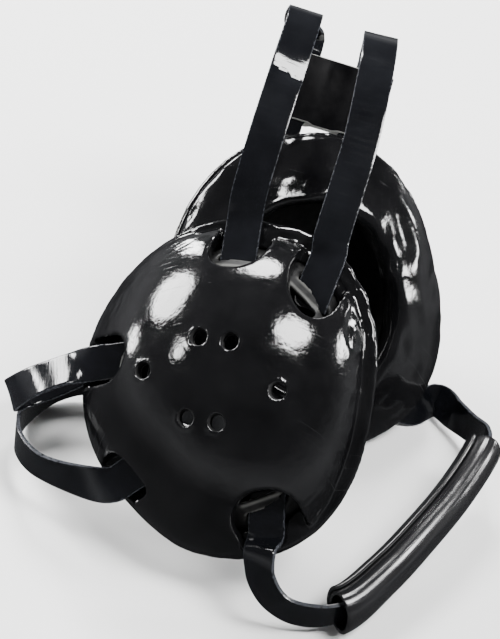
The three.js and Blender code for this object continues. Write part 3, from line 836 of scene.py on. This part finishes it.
def model_shell(side):
    inner_height = SHELL_HEIGHT - SHELL_WALL

    def outer_row(share):
        return lambda angle: (share * shell_radius(angle), SHELL_HEIGHT * crown(share))

    def inner_row(share):
        return lambda angle: (share * (shell_radius(angle) - SHELL_WALL), inner_height * crown(share))

    shares = dome_shares(SHELL_ROWS)
    rows = [*map(outer_row, shares), *map(inner_row, reversed(shares))]
    shell = closed_bowl(f"{side}_hard_shell", rows)
    cutters = [vent_cutter(vent) for vent in VENTS]
    for name in WINDOWS:
        cutters += slot_cutters(name, side)
    combine(shell, joined("shell_cutters", cutters), "DIFFERENCE")
    modify(shell, "REMESH", mode="VOXEL", voxel_size=SHELL_VOXEL)
    modify(shell, "SMOOTH", factor=SMOOTH_FACTOR, iterations=SHELL_SMOOTH)
    mark_bars(shell)
    put(shell, HEAD @ cup_matrix(side))
    return shell


# Smooth lines

def through(points, row):
    """A point on the centripetal curve through the points, at a place counted in rows."""
    first = min(int(row), len(points) - 2)
    share = row - first
    b = points[first]
    c = points[first + 1]
    a = points[first - 1] if first > 0 else 2 * b - c
    d = points[first + 2] if first + 2 < len(points) else 2 * c - b
    middle = math.sqrt((c - b).length)
    middle = middle if middle > SAME_POINT else 1.0
    before = math.sqrt((b - a).length)
    before = before if before > SAME_POINT else middle
    after = math.sqrt((d - c).length)
    after = after if after > SAME_POINT else middle
    start = ((b - a) / before - (c - a) / (before + middle) + (c - b) / middle) * middle
    end = ((c - b) / middle - (d - b) / (middle + after) + (d - c) / after) * middle
    square = share * share
    cube = square * share
    bend = (3 * (c - b) - 2 * start - end) * square
    return b + start * share + bend + (2 * (b - c) + start + end) * cube


# Padded rings

def pad_section(count):
    """The ring's section as a smooth closed line of reach and depth."""
    width = CUP_HALF_WIDTH - EAR_HALF_WIDTH
    corners = [Vector((point.reach * width, point.depth)) for point in PAD_SECTION]
    around = [corners[-1], *corners, corners[0], corners[1]]
    section = []
    for i in range(count):
        place = through(around, 1 + len(corners) * i / count)
        section.append(PadPoint(place.x / width, place.y))
    return section


def pad_shift(point):
    """Soft dents in the foam, and waves of the vinyl that run round the ring and die out at the seam."""
    angle = math.atan2(point.y, point.x)
    inside = cup_radius(angle) - math.hypot(point.x, point.y)
    wave = noise.noise(rim_place(angle, inside, PAD_WAVE_LENGTH, PAD_WAVE_SIZE))
    free = smooth_step(-point.z, SEAM_DEPTH, 2 * SEAM_DEPTH)
    return PAD_DENT_DEPTH * noise.noise(point / PAD_DENT_SIZE) + PAD_WAVE_DEPTH * free * wave


def from_smallest(corners):
    """A face's corners, begun at the smallest index."""
    corners = list(corners)
    first = corners.index(min(corners))
    return corners[first:] + corners[:first]


def fix_order(piece):
    """Sorts edges and faces, which extruding leaves in an order that changes from run to run."""
    mesh = piece.data
    points = [point.co.copy() for point in mesh.vertices]
    edges = sorted(sorted(edge.vertices) for edge in mesh.edges)
    faces = sorted(from_smallest(face.vertices) for face in mesh.polygons)
    mesh.clear_geometry()
    mesh.from_pydata(points, edges, faces)
    mesh.update()


def add_cloth(pad):
    """The vinyl is a little too wide, pressed out by the foam and held along its seam with the cover."""
    seam = pad.vertex_groups.new(name="seam")
    held = [point.index for point in pad.data.vertices if point.co.z > -SEAM_DEPTH]
    seam.add(held, 1.0, "ADD")
    cloth = pad.modifiers.new("Cloth", "CLOTH")
    settings = cloth.settings
    settings.quality = CLOTH_QUALITY
    settings.mass = CLOTH_MASS
    settings.vertex_group_mass = seam.name
    settings.use_pressure = True
    settings.uniform_pressure_force = CLOTH_PRESSURE
    settings.shrink_min = -CLOTH_GROWTH
    settings.bending_stiffness = CLOTH_BENDING
    settings.air_damping = CLOTH_DAMPING
    settings.effector_weights.gravity = 0
    cloth.collision_settings.use_collision = False
    cloth.point_cache.frame_end = CLOTH_STEPS
    return cloth


def wrinkle(pad):
    """Lets the ring wrinkle as cloth. No point moves further than the cloth's reach."""
    started = [point.co.copy() for point in pad.data.vertices]
    cloth = add_cloth(pad)
    pad.data.transform(Matrix.Scale(CLOTH_SCALE, 4))
    activate(pad)
    for step in range(1, CLOTH_STEPS + 1):
        bpy.context.scene.frame_set(step)
    bpy.ops.object.modifier_apply(modifier=cloth.name)
    bpy.context.scene.frame_set(1)
    for point, start in zip(pad.data.vertices, started):
        move = point.co / CLOTH_SCALE - start
        point.co = start + move * CLOTH_REACH / (CLOTH_REACH + move.length)
    pad.vertex_groups.clear()


def model_pad(side):
    def pad_row(point):
        def row(angle):
            ear = ear_radius(angle)
            return ear + point.reach * (cup_radius(angle) - PAD_INSET - ear), -point.depth
        return row

    section = pad_section(PAD_ROWS)
    pad = extrude_rings(f"{side}_ear_pad", [pad_row(point) for point in section])
    bpy.ops.mesh.select_all(action="DESELECT")
    bpy.ops.mesh.select_non_manifold()
    bpy.ops.mesh.bridge_edge_loops()
    close_skin()
    fix_order(pad)
    wrinkle(pad)
    modify(pad, "SUBSURF", levels=1, render_levels=1)
    sculpt(pad, pad_shift)
    put(pad, HEAD @ cup_matrix(side))
    return pad


# Straps

def strap_end(name, side, towards):
    """A strap's tail inside the shell, its slot and its way out over the flange, in the head frame."""
    cup = cup_matrix(side)
    at, along, across = slot_frame(name, side)
    across = (cup.to_3x3() @ across).normalized()
    if across.dot(towards) < 0:
        across.negate()
    out = getattr(STRAP_ENDS[name], side).out
    stations = [-STRAP_TAIL, -STRAP_TAIL / 2, out / 3, out]
    return [StrapRow(cup @ (at + reach * along), across) for reach in stations]


def keeper_frame():
    lean = math.radians(KEEPER_LEAN)
    yaw = math.radians(KEEPER_YAW)
    along = Vector((math.sin(lean), math.cos(lean), 0))
    level = Vector((math.cos(lean), -math.sin(lean), 0))
    return along, math.cos(yaw) * level - math.sin(yaw) * OUT_OF_EAR


def keeper_rows(sign):
    """Where a top strap passes through the keeper, from its upper end to its lower one."""
    along, across = keeper_frame()
    middle = KEEPER_AT + sign * KEEPER_SPACING / 2 * across
    return [StrapRow(middle + share * KEEPER_LENGTH * along, across) for share in KEEPER_STATIONS]


def run_rows(run):
    return [StrapRow(Vector(at) * MM, Vector(across).normalized()) for at, across in run]


def strap_rows(name, towards, run):
    start = strap_end(name, "right", towards)
    finish = strap_end(name, "left", towards)
    return [*start, *run, *reversed(finish)]


class StrapLine:
    """The smooth line of a strap, with the direction of its width, by the share of its length."""

    def __init__(self, rows):
        self.places = [row.at for row in rows]
        self.widths = [row.across for row in rows]
        last = len(rows) - 1
        self.samples = [last * i / LINE_SAMPLES for i in range(LINE_SAMPLES + 1)]
        points = [through(self.places, sample) for sample in self.samples]
        steps = ((q - p).length for p, q in zip(points, points[1:]))
        self.lengths = list(accumulate(steps, initial=0.0))
        self.length = self.lengths[-1]

    @lru_cache(maxsize=None)
    def frame(self, share):
        wanted = share * self.length
        after = min(max(bisect_right(self.lengths, wanted), 1), LINE_SAMPLES)
        step = self.lengths[after] - self.lengths[after - 1]
        part = (wanted - self.lengths[after - 1]) / step
        row = self.samples[after - 1] + part * (self.samples[after] - self.samples[after - 1])
        nudge = self.samples[1] / 2
        ahead = through(self.places, min(row + nudge, len(self.places) - 1))
        behind = through(self.places, max(row - nudge, 0))
        along = (ahead - behind).normalized()
        across = through(self.widths, row)
        across = (across - across.dot(along) * along).normalized()
        return StrapFrame(through(self.places, row), along, across, along.cross(across))

    def share_nearest(self, place):
        shares = [i / LINE_SAMPLES for i in range(LINE_SAMPLES + 1)]
        return min(shares, key=lambda share: (self.frame(share).at - place).length)


def strip(name, along_cells, across_cells):
    """A flat strip of cells, one by one in size, with its own map of along and across."""
    deselect()
    bpy.ops.mesh.primitive_grid_add(x_subdivisions=along_cells, y_subdivisions=across_cells, size=1)
    return added(name)


def share_of(place):
    """A place on a strip, from -0.5 to 0.5, as a share from 0 to 1."""
    return place + 0.5


def fold_shift(here, aside):
    """How far the old fold moves a point of the strap out of its plane."""
    away = here.at - FOLD_AT
    if away.length > FOLD_REACH:
        return 0
    above = away.dot(here.along) - FOLD_SLANT * aside
    if above < 0:
        return (FOLD_DEPTH + FOLD_TWIST * aside) * math.exp(above / FOLD_BELOW)
    twist = FOLD_TWIST * aside * (1 - smooth_step(above, FOLD_ABOVE / 2, 2 * FOLD_ABOVE))
    return FOLD_DEPTH * math.exp(-above / FOLD_ABOVE) + twist


def model_strap(name, line):
    strap = strip(name, round(line.length / STRAP_CELL), STRAP_ACROSS)
    for point in strap.data.vertices:
        here = line.frame(round(share_of(point.co.x), SHARE_DIGITS))
        aside = point.co.y * STRAP_WIDTH
        wave = STRAP_WAVE_DEPTH * noise.noise(here.at / STRAP_WAVE_SIZE)
        shift = wave + fold_shift(here, aside)
        point.co = here.at + aside * here.across + shift * here.normal
    modify(strap, "SOLIDIFY", thickness=STRAP_THICK, offset=0)
    modify(strap, "BEVEL", width=STRAP_EDGE, segments=EDGE_SEGMENTS, limit_method="ANGLE")
    put(strap, HEAD)
    press_on_table(strap)
    return strap


# Chin tube

def model_tube(line):
    run = run_rows(CHIN_RUN_TUBE)
    first = line.share_nearest(run[0].at)
    last = line.share_nearest(run[-1].at)
    span = 360 + TUBE_LAP
    tube = strip("rolled_chin_tube", TUBE_ALONG, TUBE_AROUND)
    for point in tube.data.vertices:
        share = share_of(point.co.x)
        here = line.frame(round(first + share * (last - first), SHARE_DIGITS))
        turn = share_of(point.co.y) * span
        angle = math.radians(TUBE_SEAM_AT + turn)
        lift = smooth_step(turn, span - 2 * TUBE_LAP, 360) * (TUBE_WALL + TUBE_LAP_GAP)
        reach = lift + TUBE_MOUTH * (1 - share) ** TUBE_MOUTH_POWER
        across = (TUBE_HALF_WIDTH + reach) * math.cos(angle)
        normal = (TUBE_HALF_THICK + reach) * math.sin(angle)
        point.co = here.at + across * here.across + normal * here.normal
    modify(tube, "SOLIDIFY", thickness=TUBE_WALL, offset=0)
    modify(tube, "BEVEL", width=STRAP_EDGE, segments=EDGE_SEGMENTS, limit_method="ANGLE")
    put(tube, HEAD)
    press_on_table(tube)
    return tube


# Keeper

def keeper_outline():
    """The keeper's section: two channels with sloped sides and a thin web between them."""
    half = CHANNEL_HEIGHT / 2 + CHANNEL_WALL
    inner = (KEEPER_SPACING - CHANNEL_WIDTH) / 2 - CHANNEL_WALL
    outer = (KEEPER_SPACING + CHANNEL_WIDTH) / 2 + CHANNEL_WALL
    upper = [
        (outer + CHANNEL_BEVEL / 2, WEB_HALF),
        (outer, half),
        (inner, half),
        (inner - CHANNEL_BEVEL, WEB_HALF),
    ]
    top = upper + [(-x, y) for x, y in reversed(upper)]
    return top + [(x, -y) for x, y in reversed(top)]


def cut_ends(keeper):
    """Gives the keeper's ends their own finish, and slants them."""
    for face in keeper.data.polygons:
        face.material_index = int(abs(face.normal.z) > CUT_END_FACING)
    for point in keeper.data.vertices:
        behind = point.co.y + CHANNEL_HEIGHT / 2 + CHANNEL_WALL
        point.co.z += behind * (KEEPER_UPPER_SLANT if point.co.z > 0 else -KEEPER_LOWER_SLANT)


def model_keeper():
    outline = keeper_outline()
    deselect()
    bpy.ops.mesh.primitive_circle_add(vertices=len(outline), radius=KEEPER_SPACING, fill_type="NGON")
    keeper = added("top_strap_keeper")
    for point, (x, y) in zip(keeper.data.vertices, outline):
        point.co = (x, y, -KEEPER_LENGTH / 2)
    draw_up((0, 0, KEEPER_LENGTH))
    channel = (CHANNEL_WIDTH, CHANNEL_HEIGHT, 2 * KEEPER_LENGTH)
    sides = [Matrix.Translation((sign * KEEPER_SPACING / 2, 0, 0)) for sign in (-1, 1)]
    combine(keeper, joined("channels", [slot_cutter(channel, side) for side in sides]), "DIFFERENCE")
    modify(keeper, "BEVEL", width=KEEPER_EDGE, segments=EDGE_SEGMENTS, limit_method="ANGLE")
    cut_ends(keeper)
    along, across = keeper_frame()
    put(keeper, HEAD @ basis(across, along.cross(across), along, KEEPER_AT))
    return keeper


# Finishes

def add_node(tree, kind, inputs, **settings):
    """A node with its settings. An input is a plain value, or the output of another node."""
    node = tree.nodes.new(kind)
    for name, value in settings.items():
        setattr(node, name, value)
    for name, value in inputs.items():
        if isinstance(value, bpy.types.NodeSocket):
            tree.links.new(value, node.inputs[name])
        else:
            node.inputs[name].default_value = value
    return node


def new_finish(name, **sockets):
    """A material with constants set on its shader."""
    material = bpy.data.materials.new(name)
    material.use_nodes = True
    shader = material.node_tree.nodes["Principled BSDF"]
    for socket, value in sockets.items():
        shader.inputs[socket.replace("_", " ")].default_value = value
    return material, material.node_tree, shader


def object_place(tree):
    return add_node(tree, "ShaderNodeTexCoord", {}).outputs["Object"]


def surface_map(tree):
    return add_node(tree, "ShaderNodeTexCoord", {}).outputs["UV"]


def mark_of(tree, name):
    """A mark that the points of the mesh carry, from 0 to 1."""
    return add_node(tree, "ShaderNodeAttribute", {}, attribute_name=name).outputs["Fac"]


def stretched(tree, place, scale, turn=(0, 0, 0)):
    inputs = {"Vector": place, "Scale": scale, "Rotation": turn}
    return add_node(tree, "ShaderNodeMapping", inputs).outputs[0]


def clouds(tree, place, scale, detail=3):
    """A slow noise, from 0 to 1. The scale counts waves in a metre."""
    inputs = {"Vector": place, "Scale": scale, "Detail": detail}
    return add_node(tree, "ShaderNodeTexNoise", inputs).outputs[0]


def remap(tree, value, low, high, to_low, to_high):
    inputs = {"Value": value, "From Min": low, "From Max": high, "To Min": to_low, "To Max": to_high}
    return add_node(tree, "ShaderNodeMapRange", inputs).outputs[0]


def spread(tree, value, low, high):
    """A noise drawn out between two values."""
    return remap(tree, value, CLOUD_LOW, CLOUD_HIGH, low, high)


def math_of(tree, operation, first, second):
    node = add_node(tree, "ShaderNodeMath", {}, operation=operation)
    for socket, value in zip(node.inputs, (first, second)):
        if isinstance(value, bpy.types.NodeSocket):
            tree.links.new(value, socket)
        else:
            socket.default_value = value
    return node.outputs[0]


def blend_colours(tree, share, low, high):
    """A colour between two, by a share from 0 to 1."""
    ramp = add_node(tree, "ShaderNodeValToRGB", {"Fac": share})
    ramp.color_ramp.elements[0].color = low
    ramp.color_ramp.elements[1].color = high
    return ramp.outputs["Color"]


def paint(tree, shader, share, colours):
    """Colours the shader between its dark and its pale colour."""
    tree.links.new(blend_colours(tree, share, *colours), shader.inputs["Base Color"])


def relief(tree, shader, layers):
    """Stacks bumps on each other. Each layer has its height and its depth in metres."""
    normal = None
    for height, depth in layers:
        inputs = {"Height": height, "Distance": depth, "Strength": 1.0}
        if normal:
            inputs["Normal"] = normal
        normal = add_node(tree, "ShaderNodeBump", inputs).outputs["Normal"]
    tree.links.new(normal, shader.inputs["Normal"])


def hairlines(tree, place, turn):
    """Long thin scratches: level lines of a stretched noise, broken up by a slower one."""
    waves = clouds(tree, stretched(tree, place, SCRATCH_STRETCH, turn), 1.0, detail=1)
    level = math_of(tree, "SUBTRACT", waves, MIDDLE)
    lines = remap(tree, math_of(tree, "ABSOLUTE", level, 0.0), 0.0, SCRATCH_WIDTH, 1.0, 0.0)
    slow_waves = clouds(tree, stretched(tree, place, (1, 1, 1), turn), SCRATCH_PATCH_WAVES)
    patches = remap(tree, slow_waves, *SCRATCH_PATCH_RANGE, 0.0, 1.0)
    return math_of(tree, "MULTIPLY", lines, patches)


def dipped_vinyl(name, smooth, rough):
    """Glossy vinyl skin: black with faint clouds, a fine peel, slow ripples and hairline scratches."""
    material, tree, shader = new_finish(name, Specular_IOR_Level=VINYL_SPECULAR)
    place = object_place(tree)
    steep, level = (hairlines(tree, place, turn) for turn in SCRATCH_TURNS)
    scratches = math_of(tree, "MAXIMUM", steep, level)
    tint = spread(tree, clouds(tree, place, VINYL_TINT_WAVES, detail=5), 0.0, VINYL_TINT_MOST)
    paint(tree, shader, math_of(tree, "MAXIMUM", tint, scratches), VINYL_COLOURS)
    gloss = spread(tree, clouds(tree, place, VINYL_GLOSS_WAVES, detail=6), smooth, rough)
    worn = math_of(tree, "ADD", gloss, math_of(tree, "MULTIPLY", scratches, SCRATCH_ROUGHNESS))
    matt = math_of(tree, "MULTIPLY", mark_of(tree, "vent"), VENT_ROUGHNESS)
    tree.links.new(math_of(tree, "MAXIMUM", worn, matt), shader.inputs["Roughness"])
    relief(tree, shader, [
        (clouds(tree, place, VINYL_RIPPLE_WAVES), VINYL_RIPPLE_DEPTH),
        (clouds(tree, place, VINYL_PEEL_WAVES), VINYL_PEEL_DEPTH),
        (clouds(tree, place, VINYL_GRAIN_WAVES), VINYL_GRAIN_DEPTH),
        (math_of(tree, "MULTIPLY", scratches, -1.0), SCRATCH_DEPTH),
    ])
    return material


def rubbed_edge(tree, surface, place):
    """How much a strap is rubbed, from 0 inside its ragged edges to 1 along them."""
    across = add_node(tree, "ShaderNodeSeparateXYZ", {"Vector": surface}).outputs["Y"]
    from_middle = math_of(tree, "ABSOLUTE", math_of(tree, "SUBTRACT", across, MIDDLE), 0.0)
    ragged = remap(tree, clouds(tree, place, RUB_WAVES), 0, 1, -RUB_RAGGED, RUB_RAGGED)
    return remap(tree, math_of(tree, "ADD", from_middle, ragged), RUB_FROM, MIDDLE, 0.0, 1.0)


def strap_finish():
    """Extruded vinyl strap: bluish black, faint lines across it and pale rubbed edges."""
    material, tree, shader = new_finish("strap_vinyl", Specular_IOR_Level=VINYL_SPECULAR)
    surface = surface_map(tree)
    place = object_place(tree)
    edge = rubbed_edge(tree, surface, place)
    tint = spread(tree, clouds(tree, place, STRAP_TINT_WAVES), 0.0, STRAP_TINT_MOST)
    paint(tree, shader, math_of(tree, "MAXIMUM", tint, edge), STRAP_COLOURS)
    lines = clouds(tree, stretched(tree, surface, STRAP_LINE_STRETCH), 1.0, detail=4)
    gloss = spread(tree, lines, *STRAP_ROUGHNESS)
    worn = math_of(tree, "ADD", gloss, math_of(tree, "MULTIPLY", edge, RUB_ROUGHNESS))
    tree.links.new(worn, shader.inputs["Roughness"])
    relief(tree, shader, [
        (lines, STRAP_LINE_DEPTH),
        (clouds(tree, place, STRAP_GRAIN_WAVES), STRAP_GRAIN_DEPTH),
    ])
    return material


def tube_finish():
    """Rolled vinyl sheet: long streaks that follow the tube, a little duller than the straps."""
    material, tree, shader = new_finish("tube_vinyl", Specular_IOR_Level=VINYL_SPECULAR)
    streaks = clouds(tree, stretched(tree, surface_map(tree), TUBE_STREAK_STRETCH), 1.0, detail=5)
    paint(tree, shader, streaks, TUBE_COLOURS)
    tree.links.new(spread(tree, streaks, *TUBE_ROUGHNESS), shader.inputs["Roughness"])
    relief(tree, shader, [
        (streaks, TUBE_STREAK_DEPTH),
        (clouds(tree, object_place(tree), TUBE_GRAIN_WAVES), TUBE_GRAIN_DEPTH),
    ])
    return material


def plastic_finish(name, plastic, colours, pale_mark=None):
    """Matt plastic with a fine grain, paler where the mesh has the mark."""
    material, tree, shader = new_finish(name, Specular_IOR_Level=plastic.specular)
    place = object_place(tree)
    tint = spread(tree, clouds(tree, place, plastic.tint_waves, detail=5), 0.0, plastic.tint_most)
    if pale_mark:
        tint = math_of(tree, "MAXIMUM", mark_of(tree, pale_mark), tint)
    paint(tree, shader, tint, colours)
    gloss = spread(tree, clouds(tree, place, plastic.gloss_waves, detail=4), *plastic.roughness)
    tree.links.new(gloss, shader.inputs["Roughness"])
    relief(tree, shader, [(clouds(tree, place, plastic.grain_waves), PLASTIC_GRAIN_DEPTH)])
    return material


def floor_finish():
    sockets = {"Roughness": FLOOR_ROUGHNESS, "Specular_IOR_Level": FLOOR_SPECULAR}
    material, tree, shader = new_finish("pale_floor", **sockets)
    paint(tree, shader, clouds(tree, object_place(tree), FLOOR_WAVES, detail=4), FLOOR_COLOURS)
    return material


# Putting the headgear together

def dress(piece, node, slot, *finishes):
    """Gives a piece its finishes and lets it stand for its solid."""
    for finish in finishes:
        piece.data.materials.append(finish)
    activate(piece)
    bpy.ops.object.shade_smooth_by_angle(angle=math.radians(SHARP_ANGLE))
    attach(piece, "root")
    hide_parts(node)


def add_floor():
    """A pale floor that the vinyl does not mirror."""
    deselect()
    bpy.ops.mesh.primitive_plane_add(size=FLOOR_SIZE)
    floor = added("floor")
    floor.data.materials.append(floor_finish())
    floor.visible_glossy = False


def add_panel(name, panel):
    """A soft light panel that faces the headgear from its direction."""
    azimuth = math.radians(panel.azimuth)
    elevation = math.radians(panel.elevation)
    level = math.cos(elevation)
    away = Vector((level * math.cos(azimuth), level * math.sin(azimuth), math.sin(elevation)))
    light = bpy.data.lights.new(name, "AREA")
    light.shape = "ELLIPSE"
    light.size = panel.width
    light.size_y = panel.height
    light.energy = panel.power
    lamp = bpy.data.objects.new(name, light)
    lamp.location = LIT_PLACE + panel.distance * away
    lamp.rotation_mode = "QUATERNION"
    lamp.rotation_quaternion = (-away).to_track_quat("-Z", "Y")
    lamp.visible_camera = False
    bpy.context.scene.collection.objects.link(lamp)


def add_camera():
    camera = bpy.data.cameras.new("camera")
    camera.lens = CAMERA_LENS
    camera.sensor_width = SENSOR
    holder = bpy.data.objects.new("camera", camera)
    holder.matrix_world = HEAD @ Matrix.Translation((0, 0, CAMERA_DISTANCE))
    bpy.context.scene.collection.objects.link(holder)
    bpy.context.scene.camera = holder


def add_room():
    world = bpy.data.worlds.new("studio")
    world.use_nodes = True
    tree = world.node_tree
    background = tree.nodes["Background"]
    background.inputs["Color"].default_value = ROOM_COLOUR
    direction = add_node(tree, "ShaderNodeTexCoord", {}).outputs["Generated"]
    height = add_node(tree, "ShaderNodeSeparateXYZ", {"Vector": direction}).outputs["Z"]
    from_horizon = math_of(tree, "ABSOLUTE", height, 0.0)
    glow = remap(tree, from_horizon, 0.0, HORIZON_REACH, HORIZON_LIGHT, ROOM_LIGHT)
    tree.links.new(glow, background.inputs["Strength"])
    bpy.context.scene.world = world
    for name, panel in PANELS.items():
        add_panel(name, panel)


add_camera()

cover_vinyl = dipped_vinyl("cover_vinyl", *COVER_ROUGHNESS)
pad_vinyl = dipped_vinyl("pad_vinyl", *PAD_ROUGHNESS)
shell_plastic = plastic_finish("shell_plastic", SHELL_PLASTIC, SHELL_COLOURS, pale_mark="bar")
for side in CUPS:
    cover = model_cover(side)
    dress(cover, f"{side}_cover", "cover_vinyl", cover_vinyl)
    dress(model_shell(side), f"{side}_shell", "shell_plastic", shell_plastic)
    pad = model_pad(side)
    dress(pad, f"{side}_pad", "pad_vinyl", pad_vinyl)

strap_vinyl = strap_finish()
Strap = namedtuple("Strap", "piece window towards run")
STRAPS = {
    "top_strap_rear": Strap(
        "rear_top_strap", "top_rear", FORWARD, run_rows(TOP_REAR_RUN) + keeper_rows(-1)
    ),
    "top_strap_front": Strap(
        "front_top_strap", "top_front", FORWARD, run_rows(TOP_FRONT_RUN) + keeper_rows(1)
    ),
    "back_strap_upper": Strap("upper_back_strap", "back_upper", UPWARD, run_rows(BACK_UPPER_RUN)),
    "back_strap_lower": Strap("lower_back_strap", "back_lower", UPWARD, run_rows(BACK_LOWER_RUN)),
    "chin_strap": Strap("chin_strap_band", "chin", FORWARD, run_rows(CHIN_RUN)),
}
lines = {}
for node, strap in STRAPS.items():
    lines[node] = StrapLine(strap_rows(strap.window, strap.towards, strap.run))
    dress(model_strap(strap.piece, lines[node]), node, "strap_vinyl", strap_vinyl)
dress(model_tube(lines["chin_strap"]), "chin_tube", "tube_vinyl", tube_finish())
keeper_face = plastic_finish("keeper_plastic", KEEPER_PLASTIC, KEEPER_COLOURS)
keeper_cut = plastic_finish("keeper_cut_edge", KEEPER_PLASTIC, CUT_END_COLOURS)
dress(model_keeper(), "strap_keeper", "keeper_plastic", keeper_face, keeper_cut)

add_floor()
add_room()
